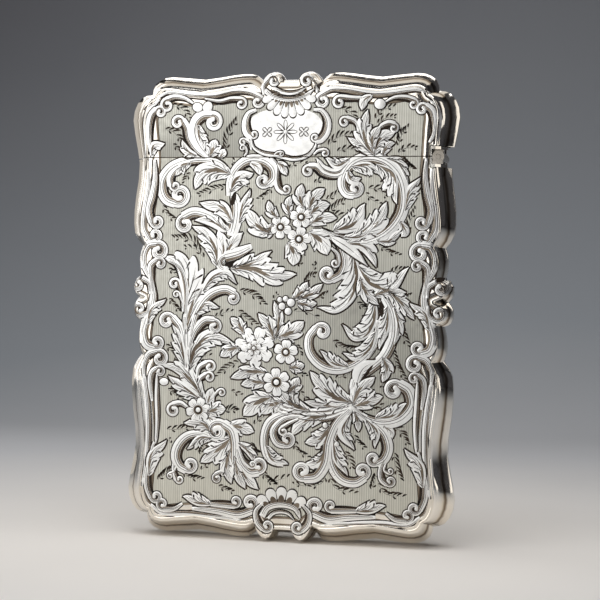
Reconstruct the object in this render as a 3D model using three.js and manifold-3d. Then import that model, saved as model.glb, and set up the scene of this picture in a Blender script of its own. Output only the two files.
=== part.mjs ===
// Pocket case for visiting cards: two shallow struck silver shells joined at a seam in mid thickness, cut
// across near the top into a body and a lid, with a collar in the mouth and a five-knuckle hinge let into
// one side. Millimetres, +Z up, front towards -Y, origin under the middle of the case as it stands.
import * as THREE from "three";
import { mergeVertices } from "three/addons/utils/BufferGeometryUtils.js";
import Module from "manifold-3d";

const wasm = await Module();
wasm.setup();

// Driving dimensions
const HALF_HEIGHT = 51.55; // from the middle of the case to the tips of the top and bottom volutes
const HALF_THICKNESS = 5; // from the seam plane to the flat of either face
const SHEET = 0.6; // thickness of the struck faces
const WALL = 0.7; // thickness of the shell's side, measured across the outline
const SEAM_GAP = 0.02; // half of the clearance between the two shells
const RIM_FLAT = 0.8; // half width of the flat that runs round the seam
const LID_LINE = HALF_HEIGHT + 32.5; // height of the joint between body and lid
const LID_GAP = 0.1; // half of the clearance at that joint
const SIDE_LIFT = 1.4; // how far the side volutes sit above the middle of the case

// Profile of the moulding along the bars: distance from the seam plane, and how far the outline has moved
// there from its course at the seam to its course on the face.
const BAR_PROFILE = [
  [0, 0],
  [RIM_FLAT, 0],
  [2.0, 0.36],
  [3.6, 0.52],
  [4.6, 0.76],
  [HALF_THICKNESS, 1],
];
const CROWN_FADE = 3; // steps of the outline over which the moulding dies away

// Hinge
const AXIS_X = 32.8;
const NOTCH_LEFT = 31.1; // the slot in the side that holds the barrel starts here
const NOTCH_HALF = 2.3; // and reaches this far above and below the lid line
const LINER_INNER = 31.42; // the slot is lined with sheet from its left end to here
const PLATE_INNER = 1.6; // distance from the axis to the near face of the sheet above and below the barrel
const PLATE_OUTER = 2.2;
const KNUCKLE_RADIUS = 1.3;
const BORE_RADIUS = 0.56;
const PIN_RADIUS = 0.5;
const BARREL_HALF = 4.1;
const KNUCKLES = 5;
const KNUCKLE_GAP = 0.12;
const ROUND_SIDES = 20;
const WEB_LEFT = 1.25; // the web that joins a knuckle to its liner, measured from the axis
const WEB_RIGHT = 0.95;
const WEB_FROM = 0.7;
const WEB_TO = PLATE_INNER - 0.03;
const LINER_LEFT = NOTCH_LEFT + 0.05;
const LINER_DEPTH = 4.3; // half of the width of the liner, front to back
const LINER_EDGE = [[LINER_LEFT, LINER_DEPTH], [32.2, LINER_DEPTH], [33.3, 3.5], [33.8, 2.0], [34.4, 1.2]];

// Collar: half of its section, outside and inside
const COLLAR_BELOW = 8;
const COLLAR_ABOVE = 5;
const COLLAR_OUTSIDE = [[-33.85, 0.5], [-32.5, 2.0], [-30.4, 4.05], [30.2, 4.05], [30.9, 3.35]];
const COLLAR_INSIDE = [[-33.2, 0.3], [-32.1, 1.6], [-30.15, 3.55], [30.0, 3.55], [30.4, 3.15]];

// One quarter of the outline, from the middle of the right side up and round to the middle of the top,
// measured from the middle of the case. Each stretch lies between two sharp points of the outline. "seam" is
// its course in mid thickness, where the case is widest, and "face" its course on the flat of the front. A
// stretch with a crown has a rounded moulding between face and side; the others slope straight to the seam.
const STRETCHES = [
  {
    name: "side volute",
    steps: 7,
    seam: [[35.0, 0], [35.9, 1.2], [36.1, 2.9], [35.4, 4.5], [34.2, 5.0]],
    face: [[32.25, 0], [34.1, 0.9], [34.6, 2.3], [34.0, 3.9], [32.9, 4.6]],
  },
  {
    name: "middle of the side",
    steps: 4,
    seam: [[34.2, 5.0], [34.8, 7.8], [34.8, 10.2], [34.2, 12.2]],
    face: [[32.9, 4.6], [33.3, 8.2], [33.0, 10.6], [32.0, 12.4]],
  },
  {
    name: "side bar",
    steps: 15,
    crown: true,
    seam: [
      [34.2, 12.2], [35.9, 14.6], [36.4, 18.3], [36.0, 24.0], [35.2, 30.6],
      [36.0, 36.0], [36.9, 41.2], [36.2, 44.5], [34.5, 46.5], [32.4, 46.9],
    ],
    face: [
      [32.0, 12.4], [33.0, 15.0], [33.1, 18.3], [32.4, 24.0], [31.7, 30.8],
      [32.1, 36.0], [32.6, 40.6], [32.2, 43.2], [31.3, 44.8], [30.3, 45.4],
    ],
  },
  {
    name: "top bar",
    steps: 14,
    crown: true,
    seam: [
      [32.4, 46.9], [31.9, 49.0], [30.0, 50.4], [27.2, 50.8], [20.0, 50.1],
      [14.0, 50.9], [10.3, 51.2], [8.0, 50.8], [6.7, 49.4],
    ],
    face: [
      [30.3, 45.4], [29.6, 46.7], [28.3, 47.3], [26.2, 47.2], [20.0, 46.4],
      [14.0, 47.3], [10.3, 47.8], [8.0, 47.8], [6.5, 47.2],
    ],
  },
  {
    name: "top volute",
    steps: 7,
    seam: [[6.7, 49.4], [5.5, 51.0], [4.0, 51.6], [2.6, 51.1], [1.9, 49.8]],
    face: [[6.5, 47.2], [5.6, 49.4], [4.2, 50.7], [2.8, 50.2], [2.1, 48.6]],
  },
];

// Smooth points along one stretch, without its last point.
function stretchPoints(controls, steps) {
  const curve = new THREE.CatmullRomCurve3(
    controls.map(([x, z]) => new THREE.Vector3(x, 0, z)),
    false,
    "centripetal",
  );
  return Array.from({ length: steps }, (_, i) => {
    const p = curve.getPoint(i / steps);
    return new THREE.Vector2(p.x, p.z);
  });
}

// The whole closed outline, anticlockwise seen from the front, for "seam" or "face".
function outline(which) {
  const quarter = STRETCHES.flatMap((s) => stretchPoints(s[which], s.steps));
  const last = STRETCHES.at(-1)[which].at(-1);
  quarter.push(new THREE.Vector2(last[0], last[1]));
  const flip = (sx, sz) => quarter.map((p) => new THREE.Vector2(sx * p.x, sz * p.y));
  const loop = [
    ...flip(1, 1),
    ...flip(-1, 1).reverse(),
    ...flip(-1, -1).slice(1),
    ...flip(1, -1).reverse().slice(0, -1),
  ];
  return loop.map((p) => {
    const lift = Math.abs(p.x) > 25 ? SIDE_LIFT * Math.max(0, 1 - Math.abs(p.y) / 30) : 0;
    return new THREE.Vector2(p.x, p.y + lift + HALF_HEIGHT);
  });
}

// The outline moved inwards by a distance.
function inset(loop, distance) {
  const n = loop.length;
  return loop.map((p, i) => {
    const along = loop[(i + 1) % n].clone().sub(loop[(i + n - 1) % n]).normalize();
    return new THREE.Vector2(p.x - along.y * distance, p.y + along.x * distance);
  });
}

// How much of the moulding each point of the outline carries: none in the plain stretches, all of it along
// the bars, with a short fade where the two meet.
function crowns() {
  const quarter = STRETCHES.flatMap((s) =>
    Array.from({ length: s.steps }, (_, i) => {
      const toPlainEnd = s.name === "side bar" ? i : s.steps - i;
      return s.crown ? Math.min(1, toPlainEnd / CROWN_FADE) : 0;
    }),
  );
  quarter.push(0);
  const back = [...quarter].reverse();
  return [...quarter, ...back, ...quarter.slice(1), ...back.slice(0, -1)];
}

// The outline at a distance from the seam plane, by way of the profile of the bars and the slope of the rest.
function outlineAt(depth, seam, face, crown) {
  const plain = THREE.MathUtils.clamp((depth - RIM_FLAT) / (HALF_THICKNESS - RIM_FLAT), 0, 1);
  const above = BAR_PROFILE.findIndex(([d]) => d >= depth);
  const [d0, s0] = BAR_PROFILE[Math.max(0, above - 1)];
  const [d1, s1] = BAR_PROFILE[above];
  const round = THREE.MathUtils.mapLinear(depth, d0, d1 + (d1 === d0 ? 1 : 0), s0, s1);
  return seam.map((p, i) => p.clone().lerp(face[i], THREE.MathUtils.lerp(plain, round, crown[i])));
}

// Closed mesh from a chain of rings {loop, y} of equal length, with a flat cap on the first and the last.
function ringSolid(rings, outwards) {
  const n = rings[0].loop.length;
  const positions = rings.flatMap(({ loop, y }) => loop.flatMap((p) => [p.x, y, p.y]));
  const index = [];
  for (let r = 0; r + 1 < rings.length; r++) {
    for (let i = 0; i < n; i++) {
      const a = r * n + i;
      const b = r * n + ((i + 1) % n);
      index.push(a, b, b + n, a, b + n, a + n);
    }
  }
  const cap = (r, forwards) => {
    for (const [a, b, c] of THREE.ShapeUtils.triangulateShape(rings[r].loop, [])) {
      index.push(r * n + a, ...(forwards ? [r * n + b, r * n + c] : [r * n + c, r * n + b]));
    }
  };
  cap(0, false);
  cap(rings.length - 1, true);
  if (!outwards) {
    for (let i = 0; i < index.length; i += 3) [index[i + 1], index[i + 2]] = [index[i + 2], index[i + 1]];
  }
  return new THREE.BufferGeometry()
    .setAttribute("position", new THREE.Float32BufferAttribute(positions, 3))
    .setIndex(index);
}

// Geometry to manifold and back.
function solid(geometry) {
  const bare = new THREE.BufferGeometry().setAttribute("position", geometry.getAttribute("position"));
  if (geometry.index) bare.setIndex(geometry.index);
  const merged = mergeVertices(bare, 1e-4);
  return new wasm.Manifold(
    new wasm.Mesh({
      numProp: 3,
      vertProperties: new Float32Array(merged.attributes.position.array),
      triVerts: new Uint32Array(merged.index.array),
    }),
  );
}

function geometryOf(manifold) {
  const mesh = manifold.getMesh();
  return new THREE.BufferGeometry()
    .setAttribute("position", new THREE.Float32BufferAttribute(mesh.vertProperties, 3))
    .setIndex(new THREE.BufferAttribute(mesh.triVerts, 1));
}

const block = (low, high) =>
  solid(
    new THREE.BoxGeometry(high[0] - low[0], high[1] - low[1], high[2] - low[2]).translate(
      (low[0] + high[0]) / 2,
      (low[1] + high[1]) / 2,
      (low[2] + high[2]) / 2,
    ),
  );

// A cylinder along Y.
function roundBar(radius, y0, y1) {
  const bar = new THREE.CylinderGeometry(radius, radius, y1 - y0, ROUND_SIDES);
  return solid(bar.translate(AXIS_X, (y0 + y1) / 2, LID_LINE));
}

// Half of a section in X and Y, closed with its mirror image across the middle plane.
const closed = (half) => [...half, ...half.map(([x, y]) => [x, -y]).reverse()].reverse();

// A flat outline in X and Y, extruded upwards from one height to another.
function upright(points, z0, z1) {
  const shape = new THREE.Shape(points.map(([x, y]) => new THREE.Vector2(x, y)));
  const prism = new THREE.ExtrudeGeometry(shape, { depth: z1 - z0, bevelEnabled: false });
  return solid(prism.translate(0, 0, z0));
}

// One struck half of the whole case, before it is cut into body and lid. side is -1 for the front, 1 for
// the back.
function struckHalf(side) {
  const seam = outline("seam");
  const face = outline("face");
  const crown = crowns();
  const at = (depth) => outlineAt(depth, seam, face, crown);
  const ring = (loop, depth) => ({ loop, y: side * depth });
  const outer = [SEAM_GAP, ...BAR_PROFILE.slice(1).map(([depth]) => depth)].map((d) => ring(at(d), d));
  const inner = [
    ring(inset(seam, WALL + 0.1), SEAM_GAP - 0.5),
    ring(inset(seam, WALL + 0.1), RIM_FLAT),
    ring(inset(at(2), WALL), 2),
    ring(inset(face, WALL), HALF_THICKNESS - SHEET),
  ];
  return solid(ringSolid(outer, side < 0)).subtract(solid(ringSolid(inner, side < 0)));
}

// Space above or below the lid line, less the slot for the hinge.
const FAR = 90;
const slot = block([NOTCH_LEFT, -FAR, LID_LINE - NOTCH_HALF], [FAR, FAR, LID_LINE + NOTCH_HALF]);
const aboveLine = block([-FAR, -FAR, LID_LINE + LID_GAP], [FAR, FAR, LID_LINE + FAR]).subtract(slot);
const belowLine = block([-FAR, -FAR, -FAR], [FAR, FAR, LID_LINE - LID_GAP]).subtract(slot);

// The sleeve in the mouth of the body, which the lid closes over.
function mouthCollar() {
  const whole = upright(closed(COLLAR_OUTSIDE), LID_LINE - COLLAR_BELOW, LID_LINE + COLLAR_ABOVE);
  return whole.subtract(upright(closed(COLLAR_INSIDE), LID_LINE - FAR, LID_LINE + FAR));
}

// The bent sheet that lines one half of the hinge slot and carries that half's knuckles. up is 1 for the lid.
function hingeLiner(up) {
  const heights = (...z) => z.map((d) => LID_LINE + up * d).sort((a, b) => a - b);
  const [low, high] = heights(PLATE_INNER, PLATE_OUTER);
  const [wallLow, wallHigh] = heights(LID_GAP, PLATE_INNER + 0.1);
  const wall = block([LINER_LEFT, -LINER_DEPTH, wallLow], [LINER_INNER, LINER_DEPTH, wallHigh]);
  return upright(closed(LINER_EDGE), low, high).add(wall);
}

// One tube of the barrel, with the web that joins it to its liner.
function knuckle(number, up) {
  const pitch = (2 * BARREL_HALF) / KNUCKLES;
  const y0 = -BARREL_HALF + number * pitch + KNUCKLE_GAP / 2;
  const y1 = y0 + pitch - KNUCKLE_GAP;
  const web = [WEB_FROM, WEB_TO].map((z) => LID_LINE + up * z).sort((a, b) => a - b);
  return roundBar(KNUCKLE_RADIUS, y0, y1)
    .add(block([AXIS_X - WEB_LEFT, y0, web[0]], [AXIS_X + WEB_RIGHT, y1, web[1]]))
    .subtract(roundBar(BORE_RADIUS, y0 - 1, y1 + 1));
}

const silver = new THREE.MeshStandardMaterial({ color: 0xd8d5cc, roughness: 0.22, metalness: 1 });
const engraved = new THREE.MeshStandardMaterial({ color: 0xc9c8bf, roughness: 0.38, metalness: 1 });
const gilt = new THREE.MeshStandardMaterial({ color: 0xd9b877, roughness: 0.3, metalness: 1 });

const cardCase = new THREE.Group();
function add(name, manifold, material) {
  const mesh = new THREE.Mesh(geometryOf(manifold), material);
  mesh.name = name;
  cardCase.add(mesh);
}

const frontHalf = struckHalf(-1);
const backHalf = struckHalf(1);
add("body_front_shell", frontHalf.intersect(belowLine), engraved);
add("body_back_shell", backHalf.intersect(belowLine), engraved);
add("lid_front_shell", frontHalf.intersect(aboveLine), engraved);
add("lid_back_shell", backHalf.intersect(aboveLine), engraved);
add("mouth_collar", mouthCollar(), gilt);
add("body_hinge_liner", hingeLiner(-1), silver);
add("lid_hinge_liner", hingeLiner(1), silver);
["front", "lid_front", "middle", "lid_back", "back"].forEach((place, i) => {
  const onLid = i % 2 === 1;
  const name = onLid ? `lid_hinge_knuckle_${place.slice(4)}` : `body_hinge_knuckle_${place}`;
  add(name, knuckle(i, onLid ? 1 : -1), silver);
});
add("hinge_pin", roundBar(PIN_RADIUS, -BARREL_HALF, BARREL_HALF), silver);

export default cardCase;
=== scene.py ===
import math

import bmesh
import bpy
import numpy as np
from mathutils import Matrix, Vector
from mathutils.bvhtree import BVHTree


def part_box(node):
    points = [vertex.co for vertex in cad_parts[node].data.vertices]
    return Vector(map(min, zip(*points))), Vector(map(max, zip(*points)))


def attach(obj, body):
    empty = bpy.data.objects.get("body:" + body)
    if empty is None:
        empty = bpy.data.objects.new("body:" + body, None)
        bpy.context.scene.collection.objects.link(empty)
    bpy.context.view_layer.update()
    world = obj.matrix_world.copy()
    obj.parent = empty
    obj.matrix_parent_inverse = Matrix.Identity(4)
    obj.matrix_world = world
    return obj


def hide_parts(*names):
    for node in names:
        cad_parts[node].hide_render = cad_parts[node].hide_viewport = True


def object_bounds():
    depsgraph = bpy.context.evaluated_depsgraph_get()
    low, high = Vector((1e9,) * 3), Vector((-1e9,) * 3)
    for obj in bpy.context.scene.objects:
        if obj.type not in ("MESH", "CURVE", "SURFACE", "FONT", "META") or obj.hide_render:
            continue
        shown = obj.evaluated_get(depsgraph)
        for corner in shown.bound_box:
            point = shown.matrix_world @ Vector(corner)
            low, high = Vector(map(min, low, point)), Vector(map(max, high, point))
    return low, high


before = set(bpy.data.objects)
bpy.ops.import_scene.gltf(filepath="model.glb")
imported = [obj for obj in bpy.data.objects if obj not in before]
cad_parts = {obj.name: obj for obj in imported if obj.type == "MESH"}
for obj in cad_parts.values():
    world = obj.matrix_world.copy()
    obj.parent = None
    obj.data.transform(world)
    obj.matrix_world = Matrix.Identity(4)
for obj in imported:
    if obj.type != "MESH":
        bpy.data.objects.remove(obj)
cad_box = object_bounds()

MM = 0.001
MID_Z = (cad_box[0][2] + cad_box[1][2]) / 2  # the middle of the case, in metres

# From here to the materials all sizes are in millimetres, on a face: x to the right, z up.
FACE = cad_box[1][1] / MM  # from the seam plane to the flat of either face
BODY_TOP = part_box("body_front_shell")[1].z / MM
LID_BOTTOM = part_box("lid_front_shell")[0].z / MM
LID_LINE = (LID_BOTTOM + BODY_TOP) / 2
LID_GAP = (LID_BOTTOM - BODY_TOP) / 2  # from the lid line to either edge
SLOT_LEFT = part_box("body_hinge_liner")[0].x / MM - 0.05
SLOT_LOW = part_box("body_hinge_liner")[0].z / MM - 0.1
SLOT_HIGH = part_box("lid_hinge_liner")[1].z / MM + 0.1
SLOT_SIDE = 30.5  # the edge of the face right of this, level with the slot, is the edge of the slot
RECESS = 0.18  # the matted ground lies this far under the face, and the ornament stands on it
LEVEL = 0.02  # height between one layer of ornament and the next
FILL = 0.008  # a shape stands this far above its own cut outline
DOME = 0.032  # and swells this far towards its middle
STEP = 0.28  # spacing of points along a line
CUT = 0.3  # width of a cut outline
FINE = 0.15  # width of a fine engraved line
STOUT = 1.15  # the stems are this much wider than their list says
BROAD = 1.22  # and the leaves
FLAT_HALF = 29.0  # half width of the part of the face that is flat all over
FLAT_LOW, FLAT_HIGH = 9.5, 94.0  # and its lower and upper limits
BAND = 2.9  # width of the moulded band inside the edge of the face
BAND_LIFT = 0.035  # the scrolls of the border stand this much higher than the rest
BEAD = 0.26  # half width of the bead just outside the edge of the face
SOFTEN = 4  # steps over which the turns of the edge are rounded on the inside of the band


# ------------------------------------------------------------------ camera
def placed_object(name, data):
    """A new object in the scene."""
    obj = bpy.data.objects.new(name, data)
    bpy.context.scene.collection.objects.link(obj)
    return obj


def camera():
    """A long lens at the photograph's viewing angle: nearly level, a little to the right of the middle."""
    centre = Vector((0, 0, MID_Z))
    azimuth, elevation, roll = math.radians(13.3), math.radians(0.37), math.radians(0.86)
    distance, sensor, lens = 0.343, 36, 93.3
    shift = Vector((0.00203, 0.00138, 0))  # metres, in the picture plane through the middle of the case
    away = Vector((
        math.sin(azimuth) * math.cos(elevation),
        -math.cos(azimuth) * math.cos(elevation),
        math.sin(elevation),
    ))
    data = bpy.data.cameras.new("camera")
    data.sensor_width, data.lens, data.clip_start = sensor, lens, 0.01
    cam = placed_object("camera", data)
    turn = (-away).to_track_quat("-Z", "Y").to_matrix() @ Matrix.Rotation(roll, 3, "Z")
    cam.matrix_world = Matrix.Translation(centre + away * distance + turn @ shift) @ turn.to_4x4()
    bpy.context.scene.camera = cam


# ------------------------------------------------------------------ lines
def path(text):
    """Points written as "x z, x z, ..."."""
    return np.array([pair.split() for pair in text.split(",")], float)


def smooth(points):
    """A smooth line at even steps through a few points, which may be written as text."""
    p = path(points) if isinstance(points, str) else np.array(points, float)
    if len(p) == 2:
        p = np.array([p[0], p.mean(0), p[1]])
    p = np.vstack([2 * p[0] - p[1], p, 2 * p[-1] - p[-2]])
    knots = np.concatenate([[0], np.cumsum(np.linalg.norm(np.diff(p, axis=0), axis=1) ** 0.5)])
    out = []
    for i in range(1, len(p) - 2):
        t = np.linspace(knots[i], knots[i + 1], 16, endpoint=False)[:, None]
        k = knots[i - 1:i + 3]
        q = p[i - 1:i + 3]
        for reach, first in ((1, 0), (2, 0), (1, 1)):
            ends = [(k[first + j], k[first + j + reach]) for j in range(len(q) - 1)]
            q = [(b - t) / (b - a) * q[j] + (t - a) / (b - a) * q[j + 1] for j, (a, b) in enumerate(ends)]
        out.append(q[0])
    out.append(p[-2][None])
    return even(np.vstack(out))


def even(line):
    """The same line with its points at even steps."""
    s = np.concatenate([[0], np.cumsum(np.linalg.norm(np.diff(line, axis=0), axis=1))])
    n = max(4, int(s[-1] / STEP) + 1)
    at = np.linspace(0, s[-1], n)
    return np.stack([np.interp(at, s, line[:, 0]), np.interp(at, s, line[:, 1])], 1)


def curled(line, radius, hand, turns):
    """The line carried on into a volute that winds up to the left (hand 1) or to the right (hand -1)."""
    across, up = line[-1] - line[-2]
    heading = math.atan2(up, across)
    x, z = line[-1]
    out, turned, total = [], 0.0, turns * 2 * math.pi
    while turned < total:
        r = radius * (1 - 0.68 * turned / total)
        step = min(0.2, r * 0.3)
        x += step * math.cos(heading)
        z += step * math.sin(heading)
        heading += hand * step / r
        turned += step / r
        out.append((x, z))
    return np.vstack([line, out])


def sideways(line):
    """Unit tangents, and the unit normals to their left."""
    t = np.gradient(line, axis=0)
    t /= np.maximum(np.linalg.norm(t, axis=1, keepdims=True), 1e-9)
    return t, np.stack([-t[:, 1], t[:, 0]], 1)


# ------------------------------------------------------------------ ornament
class Ornament:
    """Flat ornament as grids of (x, z, height above the ground), gathered by finish."""

    def __init__(self):
        self.grids = {"edge": [], "leaf": [], "painted_shade": [], "cut": [], "line": []}
        self.lift = 0.0  # raises whatever is drawn next, in millimetres

    def grid(self, finish, points):
        """Takes in one grid, raised by the lift."""
        self.grids[finish].append(points + np.array([0, 0, self.lift]))

    def ribbon(self, finish, line, left, right, height, dome=0.0, columns=5):
        """A strip along a line, reaching left and right of it by the given distances."""
        _, n = sideways(line)
        u = np.linspace(-1, 1, columns)
        reach = np.where(u[None] > 0, left[:, None] * u, right[:, None] * u)
        flat = line[:, None] + n[:, None] * reach[..., None]
        rise = np.broadcast_to(height + dome * (1 - u * u), reach.shape)
        self.grid(finish, np.concatenate([flat, rise[..., None]], 2))

    def crescent(self, finish, line, half, near, far, height, dome):
        """A band that follows a domed stem, from the share near to the share far of its half width."""
        _, n = sideways(line)
        s = np.linspace(0, 1, len(line))
        inner = far + (near - far) * np.sin(np.pi * s) ** 0.7
        u = inner[:, None] + (far - inner[:, None]) * np.linspace(0, 1, 4)[None]
        flat = line[:, None] + n[:, None] * (u * half[:, None])[..., None]
        self.grid(finish, np.concatenate([flat, (height + dome * (1 - u * u) + 0.002)[..., None]], 2))

    def stroke(self, points, width, height, finish="cut", swell=0.35):
        """A tapering cut, widest at swell of its length."""
        line = smooth(points)
        s = np.linspace(0, 1, len(line))
        half = width / 2 * np.where(s < swell, 0.4 + 0.6 * s / swell, 1 - 0.9 * (s - swell) / (1 - swell))
        self.ribbon(finish, line, half, half, height, columns=2)

    def disc(self, finish, centre, radius, height, dome=0.0, squash=1.0, turn=0.0):
        """A round or oval disc, domed if asked."""
        a = np.linspace(0, 2 * math.pi, 25)
        r = np.array([0.02, 0.5, 0.8, 1.0])
        c, s = math.cos(turn), math.sin(turn)
        ex, ez = radius * r[:, None] * np.cos(a), radius * squash * r[:, None] * np.sin(a)
        x, z = centre[0] + ex * c - ez * s, centre[1] + ex * s + ez * c
        rise = np.broadcast_to((height + dome * (1 - r * r))[:, None], x.shape)
        self.grid(finish, np.stack([x, z, rise], 2))

    def field(self, finish, centre, wide, high, height):
        """A plain oval field with square shoulders."""
        power = 2.6
        a = np.linspace(0, 2 * math.pi, 49)
        ex, ez = (np.sign(f(a)) * np.abs(f(a)) ** (2 / power) for f in (np.cos, np.sin))
        r = np.linspace(0.02, 1, 5)[:, None]
        x, z = centre[0] + wide * r * ex, centre[1] + high * r * ez
        self.grid(finish, np.stack([x, z, np.full(x.shape, height)], 2))

    def bead(self, centre, radius, level=2, squash=1.0, turn=0.0):
        """A round or oval boss with its outline."""
        h = level * LEVEL
        self.disc("cut", centre, radius + CUT * 0.8, h, squash=squash, turn=turn)
        self.disc("leaf", centre, radius, h + FILL, DOME * 1.5, squash, turn)

    def scroll(self, points, width, curl=None, level=1, lines=1, base=0.4):
        """A rounded stem that swells, tapers and may end in a volute: curl is (radius, hand[, turns])."""
        h = level * LEVEL
        width *= STOUT
        line = smooth(points)
        stem = len(line)
        if curl:
            radius, hand, turns = (*curl, 1.05)[:3]
            line = curled(line, radius, hand, turns)
        s = np.linspace(0, 1, len(line))
        peak = 0.45
        rise = base + (1 - base) * np.sin(np.pi / 2 * np.minimum(1, s / peak))
        fall = 1 - 0.5 * np.clip((s - peak) / (1 - peak), 0, 1) ** 1.5
        half = width / 2 * rise * fall
        if curl:
            half[stem:] = np.minimum(half[stem:], radius * 0.36)
        else:
            half[-5:] *= np.linspace(1, 0.35, 5)
        hand = curl[1] if curl else 1
        shadow = CUT * (1 + 1.1 * np.sin(np.pi * np.clip(s / 0.8, 0, 1)) ** 2)  # wide inside a curl
        inside, outside = half + (shadow if curl else CUT), half + CUT * 0.8
        if hand > 0:
            self.ribbon("cut", line, inside, outside, h, columns=2)
        else:
            self.ribbon("cut", line, outside, inside, h, columns=2)
        self.ribbon("leaf", line, half, half, h + FILL, DOME)
        _, n = sideways(line)
        keep = slice(2, max(6, int(len(line) * 0.93)))
        # Painted shade: a dark band on the inside of the curl, laid over the domed stem.
        self.crescent("painted_shade", line[keep], half[keep], hand * 0.5, hand * 0.97, h + FILL, DOME)
        for u, weight in ((0.32, 1.3), (-0.2, 0.8), (0.66, 1.0))[:lines // 2 + 1]:
            shifted = line[keep] + n[keep] * (hand * u * half[keep])[:, None]
            thin = np.minimum(FINE / 2 * weight, half[keep] * 0.2) * np.sin(np.pi * s[keep]) ** 0.3
            self.ribbon("line", shifted, thin, thin, h + FILL + DOME * (1 - u * u) + 0.003, columns=2)
        if curl:
            eye = line[-1]
            self.disc("cut", eye, radius * 0.46, h + 0.003)
            self.disc("leaf", eye, radius * 0.3, h + FILL, DOME * 1.4)

    def leaf(self, points, left, right, lobes=(0, 0), level=2):
        """An acanthus leaf along a spine: widths to its left and right, and how many lobes each edge has."""
        h = level * LEVEL
        left, right = left * BROAD, right * BROAD
        line = smooth(points)
        count = max(len(line), 14, 10 * max(lobes) + 4)
        fine, at = np.linspace(0, len(line) - 1, count), np.arange(len(line))
        line = np.stack([np.interp(fine, at, line[:, 0]), np.interp(fine, at, line[:, 1])], 1)
        t, n = sideways(line)
        s = np.linspace(0, 1, count)
        envelope = np.sin(np.pi * s ** 0.75) ** (0.55 + 0.6 * s)
        envelope = np.maximum(envelope, 0.16 * (1 - s))

        def edge(width, number):
            """How far one edge reaches from the spine, and how far its lobes lean towards the tip."""
            if not number:
                return width * envelope, np.zeros(count)
            phase = np.clip((s - 0.1) / 0.9, 0, 0.9999) * number
            part = phase % 1
            bump = part ** 0.8 * (1 - part ** 7) ** 0.5
            bump = np.where(s < 0.1, 0.3, bump)
            reach = width * envelope * (0.62 + 0.5 * bump)
            return reach, reach * bump * 0.5

        wl, lean_l = edge(left, lobes[0])
        wr, lean_r = edge(right, lobes[1])
        columns = []
        for sign, w, lean, share, rise in (
            (-1, wr, lean_r, 1, 0), (-1, wr, lean_r, 0.55, 0.8), (0, wr, lean_r, 0, 0.5),
            (1, wl, lean_l, 0.55, 0.8), (1, wl, lean_l, 1, 0),
        ):
            flat = line + n * (sign * share * w)[:, None] + t * (share * lean * abs(sign))[:, None]
            columns.append(np.column_stack([flat, np.full(count, h + FILL + DOME * rise)]))
        self.grid("leaf", np.stack(columns, 1))
        rim = CUT * np.clip(6 * s + 0.3, 0, 1)
        outer = []
        for sign, w, lean in ((-1, wr, lean_r), (1, wl, lean_l)):
            flat = line + n * (sign * (w + rim * 1.15))[:, None] + t * (lean + rim * 0.4 * s)[:, None]
            outer.append(np.column_stack([flat, np.full(count, h)]))
        self.grid("cut", np.stack(outer, 1))
        top = h + FILL + DOME + 0.002
        # Painted shade along the spine on each lobed side, from the root.
        for sign, w, number in ((-1, wr, lobes[1]), (1, wl, lobes[0])):
            if number:
                root = slice(1, int(count * 0.62))
                self.crescent("painted_shade", line[root], w[root] * sign, 0.2, 0.02, top - DOME * 0.45, DOME * 0.3)
        self.stroke(line[1:int(count * 0.86):3], FINE * 1.3, top - DOME * 0.3, "line")
        for sign, w, lean, number in ((-1, wr, lean_r, lobes[1]), (1, wl, lean_l, lobes[0])):
            for k in range(number):
                for share, reach, weight in ((0.02, 0.7, 1.5), (0.4, 0.84, 0.9), (0.75, 0.62, 0.7)):
                    tip = min(count - 2, int((0.1 + 0.9 * (k + share) / number) * count))
                    root = max(0, tip - int(count * 0.3) - 1)
                    bend = (root + 2 * tip) // 3
                    end = line[tip] + n[tip] * sign * w[tip] * reach + t[tip] * lean[tip] * reach
                    start = line[root] + n[root] * sign * w[root] * 0.2 * reach
                    middle = line[bend] + n[bend] * sign * w[bend] * reach * 0.5
                    self.stroke([start, middle, end], FINE * weight, top, "line", swell=0.7)
                if k:
                    notch = int((0.1 + 0.9 * k / number) * count)
                    outer = line[notch] + n[notch] * sign * (w[notch] + CUT)
                    inner = line[max(0, notch - 3)] + n[notch] * sign * w[notch] * 0.45
                    self.stroke([outer, (outer + inner) / 2, inner], CUT * 1.5, top, "cut", swell=0.1)

    def flower(self, centre, radius, petals=5, turn=0.0, level=3):
        """An open flower seen from above."""
        h = level * LEVEL
        c = np.array(centre)
        across = np.linspace(0, 1, 11)
        out = np.linspace(0.16, 1, 6)
        for k in range(petals):
            middle = turn + 2 * math.pi * k / petals
            half = math.pi / petals
            for finish, grow, lift in (("cut", CUT, 0.0), ("leaf", 0.0, FILL)):
                a = middle + (across - 0.5) * 2 * half * (1.0 if grow else 0.93)
                arch = np.sin(np.pi * across)
                tip = radius * (0.66 + 0.36 * arch ** 0.5 - 0.07 * arch ** 16)
                r = out[:, None] * (tip + grow)[None]
                x, z = c[0] + r * np.cos(a), c[1] + r * np.sin(a)
                dome = DOME * 0.8 * np.sin(np.pi * out)[:, None] * arch[None]
                rise = h + lift + (dome if lift else 0)
                self.grid(finish, np.stack([x, z, np.broadcast_to(rise, x.shape)], 2))
            for lean in (-0.42, 0.0, 0.42):
                way = np.array([math.cos(middle + lean * half), math.sin(middle + lean * half)])
                reach = radius * (0.74 - abs(lean) * 0.3)
                ends = [c + way * radius * 0.34, c + way * reach]
                self.stroke(ends, FINE, h + FILL + DOME * 0.9, "line", swell=0.1)
        # Painted shade in a ring round the heart of the flower.
        self.disc("painted_shade", c, radius * 0.38, h + FILL + DOME * 0.8)
        self.disc("cut", c, radius * 0.31, h + FILL + DOME * 0.9)
        self.disc("leaf", c, radius * 0.19, h + FILL + DOME * 1.0, DOME)

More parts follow.
